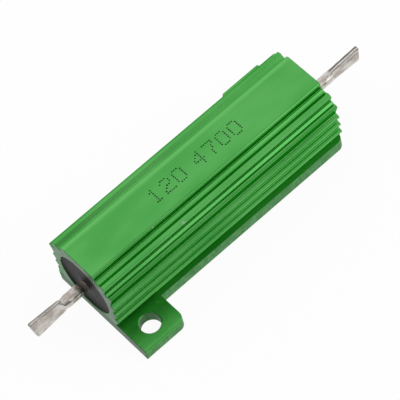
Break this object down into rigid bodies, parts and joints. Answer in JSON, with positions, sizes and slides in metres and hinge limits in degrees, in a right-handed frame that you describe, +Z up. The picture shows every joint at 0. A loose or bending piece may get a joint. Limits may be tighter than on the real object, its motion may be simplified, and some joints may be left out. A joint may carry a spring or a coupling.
{
  "type": "aluminium housed wirewound resistor",
  "caption": "Power resistor moulded into a ribbed, green anodised aluminium housing with diagonal mounting lugs and axial flattened terminals.",
  "frame": {"origin": "centre of the housing's mounting face, under the middle of the bore", "axes": "+X along the bore, from the left terminal to the right one; +Z up, out of the mounting face; +Y towards the right end's lug"},
  "size_m": [0.073, 0.0278, 0.015],
  "materials": {
    "anodised_aluminium": "satin",
    "moulding_compound": "matte",
    "steatite": "matte",
    "resistance_alloy": "satin",
    "plated_steel": "satin",
    "tinned_wire": "satin"
  },
  "bodies": {
    "root": {"housing": "anodised_aluminium", "filling": "moulding_compound", "ceramic_rod": "steatite", "resistance_wire": "resistance_alloy", "end_cap_left": "plated_steel", "end_cap_right": "plated_steel", "terminal_left": "tinned_wire", "terminal_right": "tinned_wire"}
  },
  "joints": []
}
